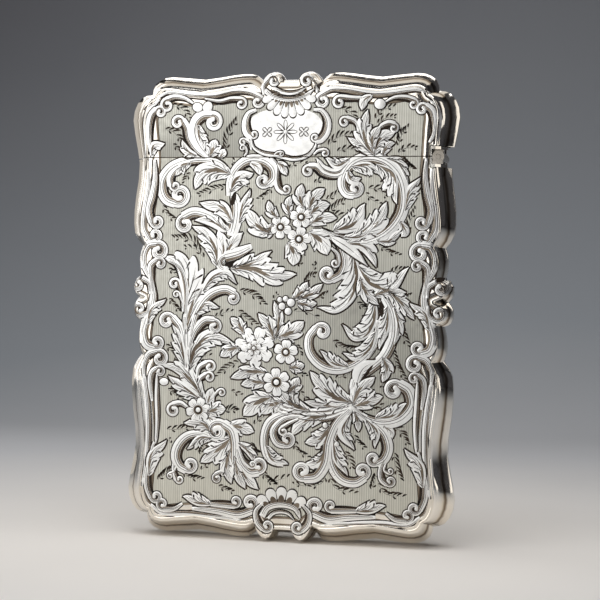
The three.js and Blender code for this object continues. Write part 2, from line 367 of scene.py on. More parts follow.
    def spray(self, points, number, length):
        """A feather of small tapering cuts along one side of a hair line, with a few on the other."""
        line = smooth(points)
        t, n = sideways(line)
        h = 0.3 * LEVEL
        self.stroke(line[::2], FINE * 0.6, h, "cut")
        heavy = 1 if n[len(n) // 2][1] > 0 else -1
        for k in range(number):
            i = int((0.04 + 0.92 * k / max(1, number - 1)) * (len(line) - 1))
            for side, share in ((heavy, 1.0), (-heavy, 0.55 if k % 3 == 1 else 0.0)):
                size = share * 1.45 * length * (1 - 0.4 * abs(2 * k / max(1, number - 1) - 0.8))
                if size < 0.3:
                    continue
                root = line[i] + n[i] * side * 0.12
                tip = root + (n[i] * side * 0.5 + t[i] * 0.86) * size
                bend = (root + tip) / 2 + n[i] * side * 0.1 * size
                self.stroke([root, bend, tip], CUT * 1.6, h + 0.002, "cut", swell=0.6)

    def fan(self, centre, near, far, start, end, number, level=2):
        """Scalloped shell: lobes side by side on an arc."""
        h = level * LEVEL
        c = np.array(centre)
        step = (end - start) / number
        for k in range(number):
            across = np.linspace(0, 1, 9)
            a = np.radians(start + step * (k + 0.03 + 0.94 * across))
            tip = far * (0.86 + 0.14 * np.sin(np.pi * across) ** 0.6)
            for finish, grow, lift in (("cut", CUT * 1.1, 0.0), ("leaf", 0.0, FILL)):
                r = near + (tip + grow - near)[None] * np.linspace(0, 1, 5)[:, None]
                x, z = c[0] + r * np.cos(a), c[1] + r * np.sin(a)
                rise = h + lift + (DOME * np.sin(np.pi * across) if lift else 0) + 0 * x
                self.grid(finish, np.stack([x, z, rise], 2))
            # Painted shade at the root of each lobe.
            arch = np.sin(np.pi * across)
            r = near + (tip - near)[None] * np.linspace(0.0, 0.5, 4)[:, None] * arch[None] ** 0.5
            x, z = c[0] + r * np.cos(a), c[1] + r * np.sin(a)
            over = h + FILL + DOME * arch + 0.003 + 0 * x
            self.grid("painted_shade", np.stack([x, z, over], 2))
            for share, width in ((0.0, CUT), (0.3, FINE), (0.5, FINE), (0.7, FINE)):
                angle = math.radians(start + step * (k + share))
                way = np.array([math.cos(angle), math.sin(angle)])
                length = (far - near) * (0.45 if share else 0.8)
                ends = [c + way * near, c + way * (near + length)]
                self.stroke(ends, width, h + FILL + DOME * 1.2, "line" if share else "cut", swell=0.1)


# ------------------------------------------------------------------ the composition
def lid_work(o):
    """Everything engraved above the lid line, and what starts there and runs over it."""
    # left corner and border
    o.scroll("-32.7 84, -32.9 88, -33.1 92, -32.4 94.8, -30.6 95.9, -29.4 96.8", 0.9, None, 0)
    o.scroll("-30.9 84.2, -31.7 87.5, -31.9 91, -31.3 93.6, -30.2 94.8", 1.3, (1.15, -1))
    o.leaf("-31.2 84.4, -30.8 86.8, -28 87.2", 0.6, 1.5, (0, 2))
    o.scroll("-21.6 96, -23.6 97.1, -26 97.5, -27.8 97", 1, (1.35, 1))
    o.scroll("-29.4 97.6, -27.5 98.5, -22 98, -17 97.8, -12 98.7, -8.6 98.3, -6.6 97.4", 1.1, (1.3, -1), 0)
    o.scroll("-19 97, -15.5 96.4, -13 96.9, -10.9 96.9", 0.8, (1.15, -1))
    o.bead((-20.6, 95.1), 1.15, 2, 0.85, -0.3)
    o.bead((-18.3, 95.1), 1.25, 2, 0.85, 1.2)
    # left scrollwork
    o.scroll("-18.4 84, -21 86, -22.5 88.5, -22.9 90.6, -23.9 92.3", 1.3, (1.3, 1))
    o.scroll("-17.6 83.7, -20.3 86.6, -21.5 89.5, -21.1 92, -19.5 93.4, -17.4 93.6", 1.9, (1.8, -1))
    o.leaf("-20.6 91.2, -20.3 88.6, -18.9 85.4", 1.7, 0.3, (3, 0))
    o.leaf("-17.8 84.2, -16.9 86, -16.3 88", 1.6, 1.6, (2, 3))
    o.leaf("-15.4 83.8, -14.8 84.8, -14.2 85.9", 0.8, 0.8, (1, 1))
    o.leaf("-20.6 84.5, -22.5 85.4, -24.1 88", 1.3, 0.5, (3, 0))
    o.spray("-26.5 95.6, -24.5 95, -22.4 92.6", 6, 1.3)
    o.spray("-28 90.3, -26 89.6, -24.2 87.4", 6, 1.3)
    o.spray("-26.2 87, -25.2 86, -24.2 84.9", 4, 0.9)
    o.spray("-13.9 85, -13.5 88.6, -11.4 92.4", 9, 1.5)
    # cartouche
    o.field("leaf", (-0.7, 89.4), 8.6, 5.2, FILL * 0.6)
    o.scroll("-7.2 94.4, -8.9 93.6, -9.7 91.5, -9.3 89.4, -8.3 88.5", 1.4, (0.8, 1), 2)
    o.scroll("5.6 94.3, 7.4 94, 8.8 91.8, 8.6 89.4, 7.4 87.8, 6.4 87.5", 1.3, (0.8, -1), 2)
    o.scroll("-8.4 88.4, -7.7 86.2, -5.6 84.9, -2 84.3, 1.5 83.6, 4.6 84.4, 6.2 86.4, 6.2 87.4", 0.8, None, 2)
    o.scroll("-8.2 85.6, -8.6 87.2, -9.6 87.9", 0.8, (0.75, 1), 2)
    o.scroll("-9.8 84.3, -9.2 85.2, -9.6 86.2", 0.7, (0.6, 1), 2)
    o.scroll("5.8 84.6, 6.8 85.4, 8 85.6", 0.8, (0.8, -1), 2)
    o.scroll("-3.2 84.2, -2.5 85, -1.6 85.2", 0.5, (0.5, -1), 3)
    rosettes(o, (-0.6, 89.5))
    # shell over the cartouche
    o.fan((0.1, 99.2), 2.4, 6.6, 198, 342, 8)
    o.scroll("-5.4 98.6, -3.4 97.2, 0 96.5, 3.4 97.1, 5.6 98.7", 1, None, 3, 2, 0.9)
    o.scroll("-3.3 99, -1.6 98.2, 0.3 97.9, 2.2 98.2, 3.8 99", 0.7, None, 3, 1, 0.9)
    o.scroll("-5.6 97.6, -5.7 99.8, -4.5 101.3", 1.1, (1.25, -1), 3)
    o.scroll("6.3 97.9, 6.3 100, 5 101.3", 1.1, (1.25, 1), 3)
    # right border
    o.scroll("31 97.4, 28.4 98.3, 22 97.8, 18 97.8, 13 98.7, 9.4 98.7, 7.2 97.6", 1.2, (1.5, 1), 0)
    o.scroll("18.2 97, 15 96.7, 11.6 97", 0.9, (1.25, 1))
    o.scroll("21.4 95.8, 23.4 96.7, 26 96.7, 27.6 96.2", 0.8, (1, -1))
    o.scroll("31 87, 32 89, 32 92, 31.4 93.9, 30.2 94.9", 1.2, (1.15, 1))
    o.scroll("32.7 87.2, 33.1 92, 32.4 94.8, 30.8 96", 0.8, None, 0)
    o.leaf("18.6 97.2, 16.8 96.2, 16.2 93.9", 0.9, 0.9, (1, 1))
    o.bead((20.2, 95.3), 1.2, 2, 0.9)
    # right acanthus
    o.scroll("19.2 88.4, 20.3 90.4, 22.2 91.3, 23.4 91", 1, (0.9, -1), 2)
    o.leaf("18.6 84.4, 20.2 87.6, 23.6 89.2", 2, 1.6, (2, 3), 1)
    o.leaf("19.3 84.2, 17.6 86.4, 16.7 90, 17.6 94.2", 1.9, 1.7, (4, 3))
    o.leaf("18.4 84.4, 16.2 86.4, 13.2 88.2", 1.1, 0.9, (2, 2), 1)
    o.leaf("18.8 85.6, 18.6 88, 20.4 90.6", 1.2, 1.2, (2, 2), 3)
    o.scroll("15.8 89.4, 14.9 91.6, 13 92.4", 1, (1, 1))
    o.leaf("20.8 84.3, 22.2 86.6, 23.6 86.9", 0.9, 0.9, (2, 2), 1)
    o.spray("9 86.6, 11 88.2, 14 88.9", 6, 1.4)
    o.spray("11 85.2, 13 85.7, 15.4 85.4", 5, 1.1)
    o.spray("11.8 94.4, 13.6 93.8, 14.9 92", 5, 1.2)
    o.spray("19.3 92.2, 20.8 94, 23.4 94.7", 6, 1.2)
    o.spray("19.8 91.2, 21.4 92.2, 23.6 92.6", 5, 1)
    o.spray("24.3 86.4, 25 88.6, 26.6 90.4", 7, 1.2)
    o.spray("24.4 84.8, 26 85.8, 28.2 85.8", 5, 1)


def rosettes(o, centre):
    """A large rosette between two small ones, in place of what an owner would have had engraved there."""
    cx, cz = centre
    a = np.linspace(0, 2 * math.pi, 480)
    half = 0.06 + 0.06 * np.sin(4 * a) ** 2
    large, small, apart = 2.6, 1.3, 4.1
    for off, radius, petals, turn in (
        (0, large, 4, 0), (-apart, small, 2, math.pi / 4), (apart, small, 2, math.pi / 4),
    ):
        r = radius * np.cos(petals * a)
        line = np.column_stack([cx + off + r * np.cos(a + turn), cz + r * np.sin(a + turn)])
        o.ribbon("line", line, half, half, FILL + 0.006, columns=2)
        o.disc("leaf", (cx + off, cz), radius * 0.16, FILL + 0.01, DOME)


def pointed_leaves(o, rows, bend, narrow, lobes, level):
    """Leaves that run from a root to a tip, bent a little to one side."""
    for ends, wide in rows:
        root, tip = path(ends)
        side = np.array([-(tip - root)[1], (tip - root)[0]]) * bend
        o.leaf([root, (root + tip) / 2 + side, tip], wide, wide * narrow, lobes, level)


def upper_left(o):
    """The left half of the body under the lid line: two large curls, acanthus and a broad leaf."""
    o.scroll("-13 80.6, -15 82.6, -19 83.6, -23 83.3, -26.6 81.8, -28.5 79.2, -28.6 76.6, -27.5 74.7, "
             "-25.6 73.9", 1.9, (2.1, 1, 1.15), 1, 3)
    o.scroll("-22.4 82.6, -25.3 81.6, -26.8 79.6, -26.6 77.8", 1.3, (1, 1), 2)
    o.leaf("-22 83, -24.2 82.4, -25.6 80", 1.7, 0.5, (3, 0))
    o.leaf("-12.8 80.4, -16.5 81.3, -19.4 80.2, -21 77", 2.4, 2.1, (4, 3))
    o.scroll("-13.3 75.6, -13 79, -11.2 82, -8.6 83.5, -5.4 83.2, -3.4 81.6, -3.1 79.4, -4.3 78.1",
             1.9, (1.4, -1), 1, 3)
    o.leaf("-12.9 76.4, -11.6 79.4, -7.6 80.6", 1.1, 2.4, (1, 4))
    o.leaf("-8.6 82.9, -6.6 81.7, -6 79.9", 0.8, 0.9, (1, 1))
    o.scroll("-3.8 83.9, -2.5 82.3, -2.5 79, -2 77.2, -0.9 76.4", 1.1, (0.9, 1))
    o.leaf("-2.6 82.8, -1.4 82.2, -0.1 80", 0.9, 0.9, (2, 1))
    o.scroll("-12.4 66.8, -11.6 70, -11.4 73.5, -12.4 76.6", 2.4, None, 1, 4, 0.8)
    o.disc("cut", (-12.1, 74.9), 1.5, LEVEL * 3, squash=0.36, turn=1.35)
    o.leaf("-10.8 69.6, -10.2 73.4, -8.3 77.2", 0.5, 1.9, (0, 4))
    o.leaf("-12.2 69.6, -14.5 73, -20 74.1", 1.9, 1, (2, 2))
    o.scroll("-12.6 67.6, -16.5 70.6, -21 72, -23.6 71", 1.9, (1.7, 1), 1, 3)
    o.leaf("-13.6 67.8, -17 69.8, -21 70.2", 0.8, 1.5, (0, 3))
    o.leaf("-15.6 60.2, -16 64, -18.6 67.6, -21.6 69", 2.2, 1.2, (4, 1))
    o.leaf("-14.6 60.6, -14.2 64, -15.6 68.4", 1.3, 1.3, (1, 1), 1)
    o.leaf("-14.2 61.6, -12 65.4, -9.8 67.6", 1.5, 1.2, (2, 1), 1)
    o.scroll("-7.8 64.6, -10.8 63.2, -13.8 62.4", 2.4, (1.9, 1, 0.6), 2, 3)
    o.disc("cut", (-12.9, 60.5), 1.0, LEVEL * 4, squash=0.7)
    o.leaf("-12.2 60, -8.2 60.6, -3.2 63.6", 1.2, 1, (2, 1))
    o.leaf("-12.4 59.6, -7.5 59.6, -3 58, 2.4 58.6", 3, 2.2, (5, 4))
    o.spray("-19.6 63.6, -21.5 65.7, -26 66.3", 9, 1.5)
    o.spray("-18.8 62, -20.5 63.8, -23 64.2", 5, 1.2)
    o.spray("-13.6 77.6, -16.5 77, -20 75.8", 8, 1.3)
    o.spray("-28.4 73.4, -27.5 71.6, -25.4 70", 6, 1.3)
    o.spray("-22 80.6, -22.8 79.6, -23.4 78.4", 4, 1)
    o.spray("-3.2 77.6, -4.4 76, -6.4 74.8", 6, 1.1)
    o.spray("-14 70.6, -14.8 69.4, -15.6 68.4", 4, 0.9)
    o.spray("0.4 81.6, 2 82.6, 4.2 82.6", 4, 0.9)
    o.spray("-12.6 84, -12.4 82.9, -11.6 82", 3, 0.8)


def upper_right(o):
    """The large curl on the right under the lid line, with the leaves along it."""
    o.scroll("7.5 68.2, 12.5 66.3, 17.5 65.7, 22.2 67.8, 25.2 71.8, 25.6 76.5, 24.2 80.5, 21.2 83.1, "
             "17.5 83.8, 14.4 82.7, 12.5 80.2, 12.2 77.7, 13.2 76.1, 14.7 75.8", 2.2, (1.5, 1), 1, 4)
    o.leaf("14.2 82, 18 82.4, 20.8 80.4", 0.4, 2.2, (0, 4))
    o.leaf("19.6 82.4, 23.4 80.4, 24.2 73.8", 0.4, 3, (0, 5))
    o.leaf("13.2 81.2, 14.2 79, 16.4 79.4", 0.9, 0.9, (2, 1))
    o.leaf("10.4 68, 14.8 69.4, 17.3 74", 2.6, 1.3, (4, 1))
    o.leaf("14.6 66.8, 19.6 69.4, 22 74.4", 2.1, 2, (4, 3))
    o.leaf("12.6 66.6, 16.6 66.8, 20 69.8", 1.2, 0.4, (2, 0), 3)
    o.scroll("13.2 81, 10.8 79.9, 8 80.6, 6.4 82, 4.8 82.1", 1.2, (1.1, 1))
    o.scroll("13.6 82.9, 11 81, 8.2 81.6, 6.4 83.8", 1.2)
    o.leaf("13.8 83.4, 11 82, 8.2 84", 0.6, 1.5, (0, 3))
    o.leaf("25.9 72.4, 26.6 76.5, 29.2 79.6", 0.7, 1.9, (0, 4), 1)
    o.leaf("21.8 83.6, 24.4 82.4, 26.6 78", 1.2, 0.5, (4, 0), 1)
    o.leaf("25 70.2, 26.2 67.8, 25.2 66.8", 0.8, 1.2, (1, 2), 1)
    o.leaf("20 66, 22.4 65.9, 25.4 68.6", 0.9, 0.9, (1, 2), 1)
    o.spray("17.3 76.2, 18.4 75, 20.6 73.8", 4, 0.9)
    o.spray("18 77.2, 20 77, 21.8 75.4", 5, 1.3)
    o.spray("24.8 84, 26 82.4, 27.6 81.2", 7, 1.3)
    o.spray("26.6 67.6, 27.2 70.2, 28.4 73", 7, 1.1)
    o.spray("6 78.4, 7.6 79, 9.2 78.8", 4, 1)
    o.spray("9.2 72, 10.8 73.2, 13 74.6", 6, 1.4)
    o.spray("8.8 74.8, 10 75.4, 11.6 76.4", 4, 1.1)
    o.spray("9.6 71.2, 11.2 71.4, 12.6 71", 4, 1.3)
    o.spray("20.4 65, 22.4 63.6, 25 62.8", 7, 1.1)


def bouquet(o):
    """The upper group of three flowers and its leaves."""
    pointed_leaves(o, (
        ("-1.9 70.6, -4.2 74.6", 1.1), ("0.6 71.4, 0.8 75.6", 1.1), ("3.7 72.8, 3.3 78.2", 1.4),
        ("4.8 72.4, 8.4 77.2", 1.5), ("5 71.4, 9.6 73.8", 1.4), ("5 69.4, 11.2 70.8", 1.5),
        ("4.9 67.8, 9.2 62.8", 2.2), ("0.4 65.6, 1.6 60.4", 1.9), ("-3.2 67.2, -9 72.8", 1.9),
        ("-3 69.4, -6.6 67", 1.2),
    ), bend=0.12, narrow=0.95, lobes=(2, 2), level=2)
    o.flower((3.2, 71.0), 2.5, 5, 0.4)
    o.flower((-1.4, 68.8), 2.5, 5, 0.9)
    o.flower((2.8, 66.2), 2.7, 5, 0.1)
    o.spray("3 60.2, 3.4 61.6, 4 63", 5, 0.9)
    o.spray("6.2 59.6, 6.2 61.4", 3, 0.7)


def middle_left(o):
    """The feathered plume that climbs the left edge."""
    o.leaf("-22.6 51, -22.9 56.5, -24.4 60, -28.2 62", 0.9, 3.9, (0, 5), 1)
    o.scroll("-22.6 49, -22.7 56, -24.2 59.8, -27.6 61.7", 1.1, None, 2, 2)
    o.scroll("-23.3 50, -23.5 53.6, -24.2 56.2", 0.9, (1.15, 1))
    o.scroll("-23.4 52, -24.2 53.9", 0.7, (0.7, 1), 2)
    o.leaf("-22.6 45, -21.8 50, -20.2 54, -17.6 57.2", 1.2, 2.4, (1, 4), 1)
    o.leaf("-18.9 54.6, -16.4 58, -13.4 58.8, -11 56.2", 0.8, 1.6, (0, 4))
    o.scroll("-21.6 44, -20 50.4, -17 54, -13.6 55.1, -11.6 54.3", 1.7, (1.2, -1), 2, 3)
    o.leaf("-20.8 49.4, -18 51.9, -14.9 51", 0.5, 1.6, (0, 3))
    o.scroll("-22 41.6, -20.4 46, -18.2 48.2, -16.2 48.2", 1.5, (1.35, -1), 2, 3)
    o.leaf("-21.6 37, -20.6 41.6, -17 44.6, -11.4 43.2", 1.6, 2.3, (3, 5), 1)
    o.scroll("-22.8 36, -23 42, -23.9 46.4, -25.7 48.7", 1.6, (1.55, 1), 1, 3)
    o.leaf("-22.7 38, -23.2 41.6, -24.4 45.6, -25.8 47.2", 1.9, 0.6, (4, 0))
    o.scroll("-17.6 30.4, -20.2 33.4, -21.8 37.6, -22.4 44, -22.5 50.5", 2.4, None, 1, 4, 0.7)
    o.spray("-27.2 42.6, -25.4 40.6, -23.8 38.2", 7, 1.2)
    o.spray("-26.8 59.4, -25.4 58.4, -24.4 57.2", 5, 1)
    o.spray("-26.6 52.8, -25.4 51.2, -24.2 50", 6, 1.1)
    o.spray("-10.4 54.8, -7.6 54, -4.8 51.8", 9, 1.4)
    o.spray("-15.8 49, -13.6 50, -12 50.2", 4, 1)
    o.spray("-10.6 50.4, -8.8 48.8, -6.6 47.4", 6, 1.3)
    o.spray("-19.8 38.4, -18.4 40.2, -16.8 40.4", 4, 1.1)
    o.spray("-10.4 39.2, -12.6 38, -15.2 35.8", 7, 1.3)
    o.spray("-2.6 53.2, -1.8 54.4", 2, 0.8)


def roses(o):
    """The lower group: a full rose, two open flowers, berries and their leaves."""
    pointed_leaves(o, (
        ("-9.2 45.2, -12.4 48.9", 1.4), ("-10.2 42.4, -14.6 40.3", 1.5), ("-2.4 44, -6.2 50", 1.5),
        ("-2 44.6, -2.6 52.8", 1.2), ("-1.8 44.8, 4.2 48.4", 2), ("-3.8 37, -12.2 35.6", 1.6),
        ("-4 34.6, -9.8 34.2", 1.5), ("-2.6 31.8, -9.2 27.4", 2.4), ("0 30.8, -5.4 28", 1.8),
        ("1 38.4, 4.4 39", 1.3), ("0.4 32.6, 3.2 36.2", 1.6), ("1.6 53.2, 4.9 57", 1.3),
        ("2.6 53.2, 8.2 56.6", 1.3), ("2.6 52.4, 7 52.4", 1.2),
    ), bend=-0.1, narrow=0.9, lobes=(2, 3), level=1)
    o.flower((-6.9, 42.6), 4.5, 7, 0.3, 2)
    o.flower((-7.0, 42.3), 3.0, 6, 0.9, 3)
    o.flower((-7.0, 42.3), 1.7, 5, 0.3, 4)
    o.flower((0.2, 41.6), 2.7, 5, 1.5)
    o.flower((-1.8, 35.0), 3.1, 6, 0.6)
    berries = ((-0.8, 51.6, 0.75), (1.2, 52.4, 0.85), (0.6, 50.5, 0.75), (0, 53.2, 0.6), (-1.3, 53, 0.55))
    for x, z, radius in berries:
        o.bead((x, z), radius, 3)
    o.spray("4.2 56.8, 5.4 58, 6.8 58.6", 6, 1.1)
    o.spray("7 53.4, 8.4 54, 9.4 54.6", 4, 1)
    o.spray("1.6 50.6, 5.4 50.2, 9 47.6", 4, 1)
    o.spray("-12 32.8, -10.8 32.3, -9.6 31.9", 3, 0.9)
    o.spray("2.6 43.2, 3.2 42.2, 3.6 41", 4, 0.8)
    o.spray("3.2 37.4, 4.2 36.8, 5 36.4", 3, 0.8)


def middle_right(o):
    """The long leaves and curls on the right of the flowers."""
    o.scroll("8.6 67.4, 11.8 64.9, 13 61.4, 12.2 58.7, 10.3 57.5", 1.5, (1.6, -1), 1, 3)
    o.scroll("10 64.4, 11.4 63, 11.7 61.4", 0.9, (0.85, -1), 2)
    o.leaf("10 66.6, 14 64.2, 18.2 60.4", 0.9, 0.8, (0, 0), 3)
    o.leaf("12.5 65.2, 17 64.6, 20 60.2", 1.9, 0.8, (3, 0))
    o.leaf("15.8 60.6, 18.8 56.4, 23.4 55.6, 27 60.4", 3.6, 0.6, (5, 0))
    o.leaf("14.6 64, 15.9 58.5, 14.6 53.6, 11 50.6, 7 51.5", 0.6, 3.2, (0, 5), 1)
    o.leaf("16.4 58, 17.6 55.2, 20.6 52.2", 1.2, 1.6, (2, 3), 3)
    o.leaf("19.2 54, 22 55.2, 26.6 55", 1, 1.4, (2, 3))
    o.leaf("19.7 53.4, 19.8 49, 18 45.6, 15.2 44.8, 12.6 48", 0.5, 2.7, (0, 5), 1)
    o.leaf("20 46.4, 18.8 42.6, 15.6 40.4, 12.8 41.8", 0.5, 2.1, (0, 4))
    o.scroll("20.4 49, 19.8 43.8, 16.6 40, 12 38.1, 8.2 38.9, 5.6 41.6, 5.3 44.8, 6.8 47",
             1.7, (1.6, -1), 1, 3)
    o.leaf("14.2 38.6, 10.6 39.4, 7.8 42.2", 0.4, 1.7, (0, 4))
    o.scroll("21.4 54.4, 23.4 50.6, 23.7 45.6, 22 41.4, 18.8 38.4, 15.6 36, 15 32", 2, None, 1, 4, 0.7)
    o.leaf("22.6 52, 22.6 47.6, 20.8 42.6", 0.5, 2.1, (0, 4))
    o.disc("cut", (21.2, 51.2), 1.7, LEVEL * 3.4, squash=0.3, turn=1.7)
    o.leaf("22.6 55.2, 25.2 53, 28.4 49.2", 1.5, 1.5, (3, 4))
    o.leaf("23.8 51.8, 24.8 48, 24 43.6", 1.3, 0.5, (3, 0))
    o.leaf("16 35.2, 17.2 38.2, 20.2 40.4", 1.4, 0.6)
    o.disc("cut", (18.3, 37.6), 2.1, LEVEL * 4, squash=0.16, turn=0.95)
    o.leaf("21.6 41, 22.6 38.6, 21.6 35.6", 1.2, 1.2, (2, 3))
    o.spray("15.8 52.6, 17.6 51.2, 18.9 50.2", 6, 1.3)
    o.spray("10.6 44.2, 13 42.8, 16.4 42.4", 8, 1.5)
    o.spray("25.2 49, 25.8 46.2, 27 43.4", 6, 1.4)
    o.spray("23.6 43, 24.6 39.4, 26.6 36.2", 9, 1.3)
    o.spray("11.4 36.2, 13.4 36.8, 14.6 37.4", 3, 1)
    o.spray("25 54.8, 26.2 54, 27.6 54.4", 4, 1)
    o.spray("22.6 58.6, 24 59.6, 26 60", 5, 1)


def lower_left(o):
    """The flower and the curls in the lower left corner."""
    o.leaf("-18.4 31, -21.5 35, -25 37.6, -28.4 38", 1.2, 1.9, (2, 4))
    o.leaf("-18.8 30.6, -22.4 33.2, -26.6 35.8", 1.9, 0.9, (4, 0), 1)
    o.bead((-27.5, 34.4), 1, 2, 0.8)
    o.scroll("-20 35, -19.4 37.8, -17.7 38.9", 1.1, (1.15, -1))
    o.scroll("-19.8 32.6, -19.2 35.3, -17.8 36.4", 1, (1, -1), 2)
    o.leaf("-17.4 29.6, -16.9 31.4, -16.2 33.4", 1, 1, (1, 1))
    o.scroll("-16 30.4, -15.8 31.8, -14.9 32.8", 0.7, (0.8, -1))
    o.leaf("-17.4 27.8, -15.4 28.6, -13.2 28.8", 1.7, 1.5, (3, 2))
    o.leaf("-17.6 27, -15.6 26.2, -14.6 26.2", 0.8, 0.8, (1, 1), 1)
    o.scroll("-21.6 28.6, -23.6 29.8, -25.3 29.5", 1.2, (1.3, 1))
    o.leaf("-15.4 22.8, -18.4 25.4, -22.8 25.4", 1.5, 1.3, (3, 2))
    o.flower((-19.5, 28.4), 2.8, 6, 0.2)
    o.scroll("-15.2 21.8, -18.4 23.1, -21.8 22.6, -24 20.4, -24.6 17.9, -23.7 15.9, -22.1 15",
             1.8, (1.5, 1), 1, 3)
    o.leaf("-16.2 22.4, -19 22.4, -22 19.6", 1.7, 0.4, (4, 0))
    o.scroll("-25 17, -25 14.6, -24.4 12.8", 0.9, (0.8, 1))
    o.scroll("-24.4 15.8, -24.9 14.6, -25.8 14.2", 0.6, (0.6, 1), 2)
    o.leaf("-11.6 22.8, -14 20.4, -18.8 16.8", 2.3, 2.1, (3, 4), 1)
    o.leaf("-12 20, -12.8 16.4, -11.6 12.4", 1.3, 1.6, (2, 3), 1)
    o.leaf("-11 18.6, -10.4 15, -8.4 11.4", 1.3, 1.3, (2, 2))
    o.leaf("-10.4 17, -8.2 13.8, -5.4 11.4", 1.2, 1.2, (1, 2), 1)
    o.scroll("-10.7 20.6, -9.4 16.8, -7.4 15, -5.6 15.2", 1.6, (1.55, 1), 2, 3)
    o.scroll("-10.2 20.6, -8.9 17.6, -7.6 16.4", 0.8, (0.8, 1), 3)
    o.leaf("-10.4 21.4, -8.2 19.8, -6 16.6", 1.3, 0.4, (3, 0), 1)
    o.leaf("-12.4 25.4, -9.8 24.9, -6.6 24", 1.6, 1.5, (2, 2), 1)
    o.scroll("-10.6 14, -11 17.6, -11 21.4, -11.8 24.2, -13.7 25.5", 2, (2.15, 1, 1.2), 2, 3)
    o.scroll("-12.4 14.2, -14 14.9, -15.2 14.4", 1, (0.9, 1), 1, 2)
    o.spray("-28.6 12.6, -26.8 14, -24.8 15.4", 8, 1.4)
    o.spray("-23 15, -21.6 13.6, -18.4 13", 7, 1.4)
    o.spray("-26.6 23.8, -23.8 24, -20.8 24.4", 6, 1.3)
    o.spray("-18.8 18.6, -18.2 20.2, -17.2 21.2", 6, 1.2)
    o.spray("-14.6 11.8, -12.8 11, -11.4 10.6", 5, 1.2)
    o.spray("-18.6 15.2, -17.6 16, -16.6 16.4", 3, 0.9)
    o.spray("-7.4 21.6, -6.8 20.2, -5.8 19.4", 5, 1.3)
    o.spray("-4.8 15.4, -3.8 14, -2 12.6", 6, 1.4)
    o.spray("-3.4 13, -1.4 13.6, 1.2 14.4", 4, 1.3)
    o.spray("-13.6 28, -12.4 28.6, -10.6 28.4", 6, 1.3)
    o.spray("-26.6 32.8, -25 31.6, -23.2 30.4", 6, 1.3)
    o.spray("-6.6 25.6, -5.2 27, -3.2 27.6", 4, 1.1)
    o.spray("-25.8 20.8, -26.2 22", 2, 0.7)


